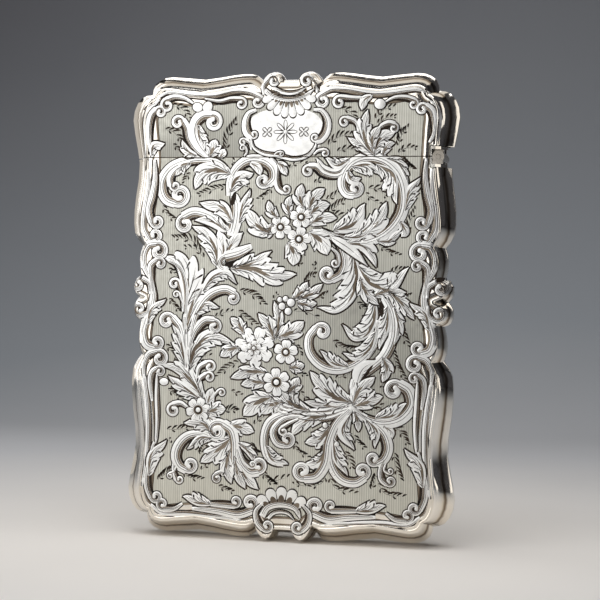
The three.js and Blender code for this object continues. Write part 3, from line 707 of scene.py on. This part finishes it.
def lower_right(o):
    """The spray of leaves and curls that starts right of the middle, low down."""
    o.leaf("15.2 31, 10.8 32.4, 5.6 37.6", 2.2, 2.4, (3, 5))
    o.leaf("14.8 30.8, 10.4 30.2, 4.4 31", 1.5, 1.5, (3, 4), 1)
    o.leaf("6 28.8, 1.8 30.8, 2.8 36.2", 2, 1.4, (3, 3), 1)
    o.leaf("3.6 29.6, 0.2 31.4, -0.6 34", 1.2, 1.4, (2, 2), 1)
    o.leaf("15.2 30.4, 16.4 33.6, 20 36.8", 1.4, 2, (2, 3))
    o.leaf("15.4 30.2, 18 31, 21.8 32.6", 2.4, 1.2, (4, 2), 1)
    o.scroll("15 30.2, 18 27.8, 22 26.8, 25.9 28, 28.1 31, 27.4 34, 25.3 35.4", 2.2, (1.8, 1), 1, 4)
    o.leaf("20.2 27.8, 24 28.4, 27 31.4", 2.1, 0.4, (4, 0))
    for shift in (0.0, 0.9, 1.8):
        apart = np.array([[0, 0.3], [0, 1], [0, 1], [0, 1], [0, 1]]) * shift
        o.scroll(path("15 30.4, 10.2 29.4, 5 29, 0 30, -3 31.6") - apart, 0.9, None, 1, 1, 0.7)
    o.scroll("15 30, 11.8 26.6, 10.1 22.4, 9.4 17.6, 7.4 14.7, 4.8 14.2", 1.9, (1.8, -1), 2, 3)
    o.leaf("10.4 26, 8.4 23.2, 4.8 22", 1.8, 1.8, (3, 3), 1)
    o.leaf("9.4 20.6, 7.8 18, 4.8 17.4", 1.4, 1.2, (1, 3), 1)
    o.leaf("9.8 28.2, 5 26.8, 1.6 23.4", 1.5, 2, (3, 2), 1)
    o.scroll("5.4 28.8, 0.6 28.2, -3.2 26.2, -4.4 22, -3.2 18, 0 16.8", 1.6, None, 1, 3)
    o.leaf("-4 21, -2.6 18, 1.2 17.2", 1.8, 0.6, (4, 0))
    o.scroll("4 27.8, 0 27, -2.4 24.2, -1.4 21.8, 0.2 21.3", 1.3, (1.5, 1), 2, 2)
    o.scroll("3.2 27.2, 1.2 26.2, -0.4 25.2", 0.8, (0.9, 1), 3)
    o.bead((9.2, 26), 0.55, 3)
    o.bead((11.8, 22), 0.55, 3)
    o.scroll("15 29.6, 11.8 25.4, 10.5 21, 10.9 17.2, 13 14.4, 16 13.8, 18.1 15", 1.8, (1.5, 1), 1, 3)
    o.leaf("11 23, 11.6 18.6, 14.4 15.2", 2, 0.4, (4, 0))
    o.leaf("14.6 28.4, 12.9 24.8, 15.8 20.8", 1.6, 0.9, (4, 0))
    o.leaf("15.6 29.2, 16.4 27, 16.6 24.8", 0.9, 0.9, (2, 2))
    o.scroll("15.8 29.4, 19.6 27, 22.3 24.5, 23.2 21.5, 22.3 19.1, 20.8 18.1", 1.7, (1.35, -1), 1, 3)
    o.leaf("18.2 27.6, 20.8 25, 20.2 21.4", 0.4, 1.7, (0, 4))
    o.scroll("22.6 19.6, 21.5 17, 21.7 14.8, 22.9 13.8", 1, (1, 1), 1, 2)
    o.scroll("22.6 18.2, 22.3 16.8, 23.2 16.2", 0.6, (0.6, 1), 2)
    o.leaf("22 26.2, 23.6 25.2, 24 23.6", 0.7, 0.7, (1, 1), 1)
    o.spray("23.4 26, 25.2 25.6, 27.2 22.6", 8, 1.3)
    o.spray("24.4 20.6, 24.8 17.6, 25.8 15", 7, 1.5)
    o.spray("21 13.8, 22.6 11.8, 26.6 11.2", 7, 1.5)
    o.spray("19.6 12.6, 20.2 14, 20.6 15.6", 5, 1.2)
    o.spray("10 15.8, 11.6 12.6, 16.4 11.4", 7, 1.4)
    o.spray("9.6 15.4, 8.8 13.6, 6.2 12.4", 6, 1.4)
    o.spray("5.2 12.6, 3.8 12.8, 2.2 13", 3, 0.8)
    o.spray("2.4 22.4, 3 20.4, 5.6 18.8", 6, 1.2)
    o.spray("15.6 24, 16.4 22.6, 17.8 21.4", 5, 1.3)
    o.spray("13.6 20.4, 14.4 19.2, 15.2 17", 5, 1.4)
    o.spray("22.2 31, 21.2 30, 19.2 29.4", 4, 1.1)
    o.spray("3.6 33, 4.6 32, 5.4 30.4", 3, 0.9)
    o.spray("22 36, 21.6 34.8, 21.8 33.4", 3, 0.8)


def border_field(o, outline):
    """The moulded silver band between the edge of the face and the matted ground."""
    loop = even(outline)
    wrapped = np.concatenate([loop[-SOFTEN:], loop, loop[:SOFTEN]])
    window = np.hanning(2 * SOFTEN + 1)
    soft = np.stack([np.convolve(wrapped[:, k], window / window.sum(), "valid") for k in (0, 1)], 1)
    soft[-1] = soft[0]
    _, n = sideways(soft)
    inner = soft + n * BAND
    around = np.full(len(soft), BEAD)
    o.ribbon("edge", loop - n * BEAD, around, around, 0.0, BEAD * 0.4, columns=7)

    def strip(finish, share, height):
        """A strip of the band between two shares of its width, at the heights given."""
        rows = loop + (inner - loop) * share[:, None, None]
        rise = np.broadcast_to(height[:, None, None], (*rows.shape[:2], 1))
        o.grid(finish, np.concatenate([rows, rise], 2))

    u = np.linspace(0, 1, 17)
    profile = 0.006 + 0.05 * np.exp(-((u - 0.16) / 0.09) ** 2) + 0.03 * np.exp(-((u - 0.66) / 0.16) ** 2)
    strip("edge", u, profile)
    # Painted shade in the hollow of the band and along its inner edge behind the scrolls; the cuts are
    # engraved lines.
    shade_over, cut_over = 0.004, 0.008
    for start, end, finish, over in (
        (0.3, 0.44, "painted_shade", shade_over), (0.8, 1.0, "painted_shade", shade_over),
        (0.96, 1.0, "cut", cut_over), (0.245, 0.275, "cut", cut_over),
    ):
        share = np.linspace(start, end, 4)
        strip(finish, share, np.interp(share, u, profile) + over)


def on_flat(polygon):
    """Whether a face of a struck shell belongs to the flat, let-down part."""
    return abs(polygon.center.y) / MM > FACE - RECESS - 0.01 and abs(polygon.normal.y) > 0.99


def face_outline(pieces):
    """The edge of the flat of one face, once round, from the struck shells."""
    points = set()
    for piece in pieces:
        uses = {}
        for polygon in piece.data.polygons:
            if on_flat(polygon):
                for key in polygon.edge_keys:
                    uses[key] = uses.get(key, 0) + 1
        for ends, count in uses.items():
            if count == 1:
                for v in (piece.data.vertices[k].co / MM for k in ends):
                    points.add((round(v.x, 3), round(v.z, 3)))

    def by_slot(x, z):
        return x > SLOT_SIDE and SLOT_LOW - 0.2 < z < SLOT_HIGH + 0.2

    clear = [(x, z) for x, z in points if abs(z - LID_LINE) > 0.3 and not by_slot(x, z)]
    middle = LID_LINE - 32.5  # about half way up the case, from where the points are put in order
    clear.sort(key=lambda q: math.atan2(q[1] - middle, q[0]))
    return np.array([*clear, clear[0]])


def border_side(o, side):
    """The border on the right (side 1), or the same mirrored on the left (side -1)."""
    def scroll(points, width, curl=None, level=1, lines=1, base=0.4):
        if curl:
            curl = (curl[0], curl[1] * side)
        o.scroll(path(points) * (side, 1), width, curl, level, lines, base)

    def leaf(points, outer, inner, lobes):
        o.leaf(path(points) * (side, 1), *(outer, inner)[::side], (lobes, 0)[::side])

    scroll("30.4 83.6, 30.2 79.5, 30.8 75.6, 31.6 72.4, 31 69.8", 1.3, (1.35, -1), 1, 2)
    scroll("31.7 81.4, 31.8 77, 32.6 72.4, 32.7 68.6, 31.6 66.4", 1.3, (1.55, -1), 0, 2)
    scroll("31.2 57.4, 32.5 60.2, 32.6 62.8, 31.6 64.7, 29.8 65.1", 1.7, (1.85, 1), 1, 3)
    scroll("30.3 53.8, 30.9 57.6, 30.9 60.2, 29.6 61.3", 1.2, (1.1, 1), 2, 2)
    scroll("30.6 57, 30.3 52.6, 31.5 48.8, 32.4 45.2, 31.6 42.6, 29.9 41.9", 1.9, (1.35, -1), 1, 3)
    leaf("31.6 47, 30.8 50.4, 27.2 52.8", 1.6, 0.5, 3)
    scroll("32.2 35.4, 32.2 38.4, 31 40.5, 29.4 41.1", 1.3, (1.7, 1), 1, 3)
    scroll("30.2 30, 30.7 34.6, 30.3 36.4, 29.3 37.3", 1.1, (1.05, 1), 2, 2)
    scroll("29.2 36, 29.1 31, 28.9 26, 29.2 20.6", 0.9)
    scroll("32.2 35.6, 31.4 30, 31 24, 31.3 17, 32.2 11", 1.1, None, 0, 2, 0.7)
    scroll("29.6 21, 30.4 18, 31.2 14.4, 31.1 10.8, 30.2 8.6", 1.1, (1.25, -1), 1, 2)
    leaf("30.8 13.4, 30.4 18, 26.6 21.6", 2.1, 0.5, 3)
    scroll("22.8 7.6, 24.8 6.3, 27.2 6.1", 1.1, (1.2, 1), 1, 2)
    leaf("16.2 7.6, 19.6 7.8, 22.8 9.2", 2, 0.4, 3)
    scroll("19.4 7.8, 15.2 7.7, 10.9 7.5", 1, (1.1, -1), 1, 2)
    scroll("20.6 6.6, 14.6 6.3, 10 5.7, 7 6.7", 1.5, (1.7, -1), 1, 3)
    scroll("30.2 7, 27.6 5.3, 22 5.4, 14.5 5, 9.4 4.6", 0.9, None, 0, 1, 0.7)
    # volutes on the edge, at the sides and under the middle
    scroll("31 53.8, 31.3 56.2, 32.8 57.2", 1.2, (1.65, -1), 2, 2)
    scroll("31.2 52.2, 31.4 49.9, 32.6 49.2", 1.1, (1.5, 1), 2, 2)
    scroll("4.4 8.6, 6 6.6, 5.6 4.2, 4.4 2.9", 1.1, (1.2, -1), 3, 2)


def body_border(o):
    """Scrolls and shells inside the edge of the face, from the lid line down."""
    for side in (-1, 1):
        border_side(o, side)
    o.fan((-0.3, 5.0), 3.8, 7.2, 32, 148, 5)
    o.scroll("-4.6 5.6, -3.4 7.6, -0.3 8.5, 2.9 7.6, 4 5.6", 1.3, None, 3, 2, 0.9)
    o.scroll("-3.2 5.2, -2 6.4, -0.3 6.8, 1.4 6.4, 2.6 5.2", 0.6, None, 3, 1, 0.9)


def composition(outline):
    """The whole engraving of one face."""
    o = Ornament()
    border_field(o, outline)
    o.lift = BAND_LIFT
    lid_work(o)
    o.lift = 0.0
    for work in (upper_left, upper_right, middle_left, middle_right, roses, bouquet, lower_left, lower_right):
        work(o)
    o.lift = BAND_LIFT
    body_border(o)
    return o


# ------------------------------------------------------------------ meshes
def struck_shell(node):
    """A copy of one CAD shell with the flat of its face let down to the matted ground."""
    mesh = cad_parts[node].data.copy()
    bm = bmesh.new()
    bm.from_mesh(mesh)
    bmesh.ops.remove_doubles(bm, verts=bm.verts, dist=1e-6)
    for v in bm.verts:
        if abs(v.co.y) > (FACE - 0.01) * MM:
            v.co.y -= math.copysign(RECESS * MM, v.co.y)
    bm.to_mesh(mesh)
    bm.free()
    custom = mesh.attributes.get("custom_normal")
    if custom:
        mesh.attributes.remove(custom)
    mesh.shade_smooth()
    mesh.set_sharp_from_angle(angle=math.radians(32))
    return placed_object(node + "_struck", mesh)


def surface_of(pieces):
    """The surfaces of some pieces as one tree for casting rays, in millimetres."""
    verts, faces = [], []
    for piece in pieces:
        first = len(verts)
        verts += [v.co / MM for v in piece.data.vertices]
        faces += [[first + i for i in p.vertices] for p in piece.data.polygons]
    return BVHTree.FromPolygons(verts, faces)


def depth_at(tree, x, z, side):
    """How far the surface is from the seam plane at a point of a face. A ray in the lid line is cast again
    beside it. NaN where there is no surface."""
    outside, inside, way = 9.0, 0.5, Vector((0, -side, 0))
    for nudge in (0, 0.25, -0.25):
        hit = tree.ray_cast(Vector((x, side * outside, z + nudge)), way)[0]
        if hit is not None and abs(hit.y) > inside:
            return abs(hit.y)
    return np.nan


def laid_on(points, tree, side):
    """Points (x, z, height) of the ornament as positions on the front (side -1) or back (side 1), in mm."""
    x, z, height = points.T
    flat = (np.abs(x) < FLAT_HALF) & (z > FLAT_LOW) & (z < FLAT_HIGH)
    depth = np.full(len(points), FACE - RECESS)
    for i in np.nonzero(~flat)[0]:
        depth[i] = depth_at(tree, -side * x[i], z[i], side)
    return np.column_stack([-side * x, side * (depth + height), z])


def ornament_mesh(grids, tree, side):
    """All grids of one finish as one bmesh lying on one face."""
    points = np.vstack([g.reshape(-1, 3) for g in grids])
    placed = laid_on(points, tree, side)
    bm = bmesh.new()
    verts = [None if np.isnan(p[1]) else bm.verts.new(p * MM) for p in placed]
    first = 0
    for g in grids:
        rows, columns = g.shape[:2]
        for i in range(rows - 1):
            for j in range(columns - 1):
                a = first + i * columns + j
                corners = [verts[k] for k in (a, a + 1, a + columns + 1, a + columns)]
                if None not in corners:
                    bm.faces.new(corners)
        first += rows * columns
    for face in bm.faces:
        face.smooth = True
        face.normal_update()
        if face.normal.y * side < 0:
            face.normal_flip()
    return bm


def cut_away(bm, height, keep_above):
    """Keeps the part of a bmesh above or below a height."""
    geometry = bm.verts[:] + bm.edges[:] + bm.faces[:]
    bmesh.ops.bisect_plane(
        bm, geom=geometry, plane_co=(0, 0, height * MM), plane_no=(0, 0, 1),
        clear_inner=keep_above, clear_outer=not keep_above,
    )


def keep_off_slot(bm):
    """Takes out what would hang over the hinge slot."""
    def over(v):
        return v.co.x / MM > SLOT_LEFT and SLOT_LOW < v.co.z / MM < SLOT_HIGH

    bmesh.ops.delete(bm, geom=[f for f in bm.faces if any(over(v) for v in f.verts)], context="FACES")


def engrave(ornament, shells, side, face_name, finishes):
    """Lays the ornament on one face, as one piece for each finish and body."""
    tree = surface_of(shells)
    for finish, grids in ornament.grids.items():
        whole = ornament_mesh(grids, tree, side)
        keep_off_slot(whole)
        for body, above in (("case_body", False), ("lid", True)):
            part = whole.copy()
            cut_away(part, LID_LINE + (LID_GAP if above else -LID_GAP), above)
            mesh = bpy.data.meshes.new(f"{body}_{face_name}_{finish}")
            part.to_mesh(mesh)
            part.free()
            mesh.materials.append(finishes[finish])
            piece = placed_object(mesh.name, mesh)
            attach(piece, body)
        whole.free()


# ------------------------------------------------------------------ materials
class Nodes:
    """A short way to write a node tree."""

    def __init__(self, name):
        self.material = bpy.data.materials.new(name)
        self.material.use_nodes = True
        self.tree = self.material.node_tree
        self.shader = self.tree.nodes["Principled BSDF"]
        self.place = self.add("ShaderNodeTexCoord").outputs["Object"]

    def add(self, kind, **settings):
        node = self.tree.nodes.new(kind)
        for key, value in settings.items():
            setattr(node, key, value)
        return node

    def link(self, a, b):
        self.tree.links.new(a, b)

    def noise(self, scale, detail=3.0, stretch=(1, 1, 1)):
        """Fractal noise, scale being cycles per metre."""
        mapping = self.add("ShaderNodeMapping")
        mapping.inputs["Scale"].default_value = stretch
        self.link(self.place, mapping.inputs["Vector"])
        node = self.add("ShaderNodeTexNoise")
        node.inputs["Scale"].default_value = scale
        node.inputs["Detail"].default_value = detail
        node.inputs["Roughness"].default_value = 0.55
        self.link(mapping.outputs["Vector"], node.inputs["Vector"])
        return node.outputs["Fac"]

    def ramp(self, value, stops):
        node = self.add("ShaderNodeValToRGB")
        elements = node.color_ramp.elements
        while len(elements) < len(stops):
            elements.new(0.5)
        for element, (at, colour) in zip(elements, stops):
            element.position = at
            element.color = (*colour, 1)
        self.link(value, node.inputs["Fac"])
        return node.outputs["Color"]

    def mapped(self, value, low, high, start=0.3, end=0.7):
        node = self.add("ShaderNodeMapRange")
        for key, number in (("From Min", start), ("From Max", end), ("To Min", low), ("To Max", high)):
            node.inputs[key].default_value = number
        self.link(value, node.inputs["Value"])
        return node.outputs["Result"]

    def mixed(self, amount, a, b):
        """Colour a turning to colour b, either of which may be a plain tuple."""
        node = self.add("ShaderNodeMix", data_type="RGBA")
        self.link(amount, node.inputs[0])
        for value, socket in ((a, node.inputs[6]), (b, node.inputs[7])):
            if isinstance(value, tuple):
                socket.default_value = (*value, 1)
            else:
                self.link(value, socket)
        return node.outputs[2]

    def bump(self, height, strength, distance, under=None):
        node = self.add("ShaderNodeBump")
        node.inputs["Strength"].default_value = strength
        node.inputs["Distance"].default_value = distance
        self.link(height, node.inputs["Height"])
        if under:
            self.link(under, node.inputs["Normal"])
        return node.outputs["Normal"]

    def maths(self, operation, *values):
        """A maths node on sockets and numbers."""
        node = self.add("ShaderNodeMath", operation=operation)
        for value, socket in zip(values, node.inputs):
            if isinstance(value, float):
                socket.default_value = value
            else:
                self.link(value, socket)
        return node.outputs[0]

    def axes(self):
        """The object position's X, Y and Z."""
        split = self.add("ShaderNodeSeparateXYZ")
        self.link(self.place, split.inputs[0])
        return split.outputs

    def finish(self, colour, roughness, normal, metallic):
        self.link(colour, self.shader.inputs["Base Color"])
        self.link(roughness, self.shader.inputs["Roughness"])
        self.link(normal, self.shader.inputs["Normal"])
        self.shader.inputs["Metallic"].default_value = metallic
        return self.material


def bright_silver(name, light, shade, rough=(0.26, 0.42), dents=0.25):
    """Hand-finished silver: soft patches of oxide, hair scratches, and fine tool marks."""
    n = Nodes(name)
    cloud = n.noise(130, 4)
    patches = n.ramp(cloud, [(0.3, shade), (0.62, light)])
    hairs = n.noise(2600, 2, (1, 1, 0.08))
    colour = n.mixed(n.mapped(hairs, 0.0, 0.18, 0.35, 0.7), patches, shade)
    roughness = n.mapped(n.noise(700, 3), *rough)
    low = n.bump(n.noise(420, 3), dents, 0.00005)
    return n.finish(colour, roughness, n.bump(hairs, dents / 2, 0.00002, low), 1.0)


def rim_silver(name):
    """Polished silver, with a painted dark reflection: a dark brown band in the cove of the moulding that
    runs round both faces.
    """
    n = Nodes(name)
    wander = 0.0006  # metres by which the edges of the painted dark band stray
    depth = n.maths("MULTIPLY_ADD", n.noise(260, 4), wander, n.maths("ABSOLUTE", n.axes()["Y"]))
    unshaded, dull, cove_painted_dark = (0.96, 0.92, 0.85), (0.86, 0.80, 0.70), (0.16, 0.11, 0.075)
    # Painted dark reflection: a dark brown band, placed by depth, in the cove of the moulding.
    band = n.ramp(n.mapped(depth, 0.0, 1.0, 0.0003, 0.0053), [
        (0.0, dull), (0.15, unshaded), (0.34, (0.94, 0.88, 0.78)), (0.41, cove_painted_dark),
        (0.5, (0.24, 0.18, 0.12)), (0.62, (0.82, 0.74, 0.62)), (0.8, unshaded),
    ])
    stain = n.mixed(n.mapped(n.noise(90, 4), 0.0, 0.3, 0.45, 0.8), band, (0.74, 0.62, 0.46))
    hairs = n.noise(2600, 2, (1, 1, 0.08))
    colour = n.mixed(n.mapped(hairs, 0.0, 0.12, 0.4, 0.7), stain, (0.70, 0.63, 0.52))
    roughness = n.mapped(n.noise(700, 3), 0.07, 0.15)
    low = n.bump(n.noise(420, 3), 0.05, 0.00005)
    return n.finish(colour, roughness, n.bump(hairs, 0.03, 0.00002, low), 1.0)


def gilt_lining(name):
    """Warm gilding, with painted shade: near black in a narrow band where the lid closes on the collar."""
    n = Nodes(name)
    away = n.maths("ABSOLUTE", n.maths("SUBTRACT", n.axes()["Z"], LID_LINE * MM))
    unshaded = n.mapped(away, 0.0, 1.0, 0.0002, 0.0007)
    cloud = n.ramp(n.noise(160, 4), [(0.3, (0.66, 0.44, 0.20)), (0.7, (0.92, 0.70, 0.38))])
    hairs = n.noise(2400, 2, (0.08, 1, 1))
    worn = n.mixed(n.mapped(hairs, 0.0, 0.2, 0.4, 0.7), cloud, (0.50, 0.34, 0.18))
    # Painted shade: near black at the lid line, in the gap between lid and collar.
    colour = n.mixed(unshaded, (0.05, 0.035, 0.02), worn)
    roughness = n.mapped(n.noise(700, 3), 0.2, 0.36)
    return n.finish(colour, roughness, n.bump(hairs, 0.12, 0.00002), 1.0)


def matted_ground():
    """The ground of the engraving: close upright lines cut with a liner, darkened in their bottoms."""
    n = Nodes("matted_ground")
    pitch = 0.0005  # metres from line to line; the wave node makes 20 / (2 pi) waves for each unit of scale
    wave = n.add("ShaderNodeTexWave", wave_type="BANDS", bands_direction="X", wave_profile="SIN")
    for key, value in (("Scale", 2 * math.pi / (20 * pitch)), ("Distortion", 0.8),
                       ("Detail", 1.5), ("Detail Scale", 0.35)):
        wave.inputs[key].default_value = value
    n.link(n.place, wave.inputs["Vector"])
    lines = wave.outputs["Fac"]
    cloud = n.noise(90, 4)
    uneven = n.noise(1500, 2, (1, 1, 0.1))
    strip = n.ramp(lines, [(0.12, (0.55, 0.53, 0.46)), (0.7, (0.77, 0.76, 0.68))])
    toned = n.mixed(n.mapped(cloud, 0.05, 0.35), strip, (0.60, 0.60, 0.53))
    colour = n.mixed(n.mapped(uneven, 0.0, 0.35, 0.35, 0.75), toned, (0.46, 0.44, 0.38))
    roughness = n.mapped(n.noise(800, 2), 0.38, 0.55)
    return n.finish(colour, roughness, n.bump(lines, 0.2, 0.00003), 1.0)


def oxidised(name, deep, warm):
    """The bottoms of the cuts, where the silver has turned dark brown."""
    n = Nodes(name)
    colour = n.ramp(n.noise(350, 3), [(0.35, deep), (0.7, warm)])
    roughness = n.mapped(n.noise(1200, 2), 0.45, 0.7)
    n.shader.inputs["Specular IOR Level"].default_value = 0.15
    return n.finish(colour, roughness, n.bump(n.noise(3000, 2), 0.3, 0.00003), 0.0)


# ------------------------------------------------------------------ build
def build_shell(body, node, side, materials):
    """One struck shell in place of its CAD node, with its rim, ground and lining."""
    piece = struck_shell(node)
    piece.data.materials.clear()
    for material in materials:
        piece.data.materials.append(material)
    rim_index, ground_index, lining_index = range(3)
    inward = -0.2  # a face whose normal turns further than this towards the seam plane is inside the shell
    for polygon in piece.data.polygons:
        if on_flat(polygon):
            polygon.material_index = ground_index
        elif polygon.normal.y * side < inward:
            polygon.material_index = lining_index
        else:
            polygon.material_index = rim_index
    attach(piece, body)
    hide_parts(node)
    return piece


camera()
leaf_silver = bright_silver("leaf_silver", (0.96, 0.95, 0.92), (0.80, 0.79, 0.76))
edge_silver = bright_silver("edge_silver", (0.96, 0.92, 0.85), (0.80, 0.73, 0.62), (0.06, 0.13), 0.06)
rim = rim_silver("rim_silver")
# Painted shade: a dark brown copy of the silver, laid over the ornament inside curls, at leaf and lobe roots,
# round flower hearts and in the border's hollows.
painted_shade = bright_silver("painted_shade", (0.30, 0.25, 0.19), (0.11, 0.08, 0.055), (0.3, 0.45))
# Painted shade: a darker copy of the silver, for the parts of the hinge in the slot.
shaded_hinge_silver = bright_silver("shaded_hinge_silver", (0.56, 0.52, 0.46), (0.20, 0.16, 0.12), (0.14, 0.3))
gilt = gilt_lining("gilt")
cut_dark = oxidised("cut_dark", (0.012, 0.008, 0.006), (0.055, 0.035, 0.022))
line_dark = oxidised("line_dark", (0.07, 0.06, 0.055), (0.16, 0.14, 0.125))
ground = matted_ground()
FINISHES = {"edge": edge_silver, "painted_shade": painted_shade, "leaf": leaf_silver, "cut": cut_dark, "line": line_dark}

FRONT, BACK = -1, 1
shells = {FRONT: [], BACK: []}
for body, short in (("case_body", "body"), ("lid", "lid")):
    for side, name in ((FRONT, "front"), (BACK, "back")):
        shells[side].append(build_shell(body, f"{short}_{name}_shell", side, (rim, ground, gilt)))

work = composition(face_outline(shells[FRONT]))
engrave(work, shells[FRONT], FRONT, "front", FINISHES)
engrave(work, shells[BACK], BACK, "back", FINISHES)

for name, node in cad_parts.items():
    if name.endswith("_shell"):
        continue
    node.data.materials.clear()
    if name == "mouth_collar":
        node.data.materials.append(gilt)
    elif name.endswith("_liner"):
        node.data.materials.append(edge_silver)
    else:
        # the hinge parts take the silver with painted shade
        node.data.materials.append(shaded_hinge_silver)


# ------------------------------------------------------------------ floor, backdrop and light
def paper():
    """Matt paper, pale round the case and grey further off, as if the light fell on the middle only."""
    n = Nodes("paper")
    mottle = n.noise(8, 3)
    place = n.axes()
    across = n.add("ShaderNodeCombineXYZ")
    n.link(place["X"], across.inputs["X"])
    n.link(place["Y"], across.inputs["Y"])
    distance = n.add("ShaderNodeVectorMath", operation="LENGTH")
    n.link(across.outputs[0], distance.inputs[0])
    reach = n.maths("ADD", distance.outputs["Value"], place["Z"])
    fall = n.ramp(reach, [
        (0.06, (0.93, 0.89, 0.84)), (0.2, (0.66, 0.66, 0.67)),
        (0.42, (0.34, 0.36, 0.385)), (0.75, (0.14, 0.14, 0.15)),
    ])
    n.shader.inputs["Specular IOR Level"].default_value = 0.0
    colour = n.mixed(n.mapped(mottle, 0.0, 0.1), fall, (0.30, 0.30, 0.30))
    roughness = n.mapped(n.noise(60, 2), 0.5, 0.6)
    return n.finish(colour, roughness, n.bump(n.noise(900, 2), 0.05, 0.0001), 0.0)


def studio():
    """The floor, which bends up into the backdrop, and the world's dim light."""
    front, bend, radius, top, half = -0.6, 0.25, 0.2, 1.2, 1.2  # metres
    profile = [(front, 0.0), (bend, 0.0)]
    for a in np.linspace(0.1, math.pi / 2, 12):
        profile.append((bend + radius * math.sin(a), radius - radius * math.cos(a)))
    profile.append((bend + radius, top))
    mesh = bpy.data.meshes.new("floor")
    verts = [(x, y, z) for y, z in profile for x in (-half, half)]
    faces = [(2 * i, 2 * i + 1, 2 * i + 3, 2 * i + 2) for i in range(len(profile) - 1)]
    mesh.from_pydata(verts, [], faces)
    mesh.shade_smooth()
    mesh.materials.append(paper())
    placed_object("floor", mesh)

    world = bpy.data.worlds.new("studio")
    bpy.context.scene.world = world
    world.use_nodes = True
    world.node_tree.nodes["Background"].inputs[0].default_value = (0.045, 0.045, 0.05, 1)


def softbox(name, azimuth, elevation, distance, wide, high, radiance, tint=None):
    """A rectangular area light that faces the middle of the case. Azimuth 0 is in front, 90 to the right.
    One with a tint is a card, which doesn't light matt surfaces and is seen in reflections."""
    data = bpy.data.lights.new(name, "AREA")
    data.shape = "RECTANGLE"
    data.size, data.size_y = wide, high
    data.energy = radiance * math.pi * wide * high
    if tint:
        data.color = tint
    a, e = math.radians(azimuth), math.radians(elevation)
    away = Vector((math.sin(a) * math.cos(e), -math.cos(a) * math.cos(e), math.sin(e)))
    light = placed_object(name, data)
    light.location = Vector((0, 0, MID_Z)) + away * distance
    light.rotation_euler = away.to_track_quat("Z", "Y").to_euler()
    light.visible_camera = False
    light.visible_diffuse = tint is None


CREAM = (1.0, 0.96, 0.9)
studio()
bpy.context.scene.view_settings.view_transform = "Standard"
for light in (
    # name, azimuth, elevation, distance, width, height, radiance, tint
    ("key", -33, 6, 0.6, 0.6, 0.6, 1.72),
    ("top", -10, 76, 0.5, 0.7, 0.45, 2.5),
    ("top_card", 180, 48, 0.5, 0.6, 0.34, 0.7, CREAM),
    ("left_card", -100, 5, 0.5, 0.5, 0.5, 0.5, CREAM),
    ("right_card", 69, 5, 0.5, 0.18, 0.7, 1.05, CREAM),
    ("right_back", 163, 5, 0.5, 0.32, 0.6, 1.1, (1.0, 0.95, 0.88)),
    ("back_fill", -150, 20, 0.42, 0.4, 0.4, 1.2, (1, 1, 1)),
):
    softbox(*light)
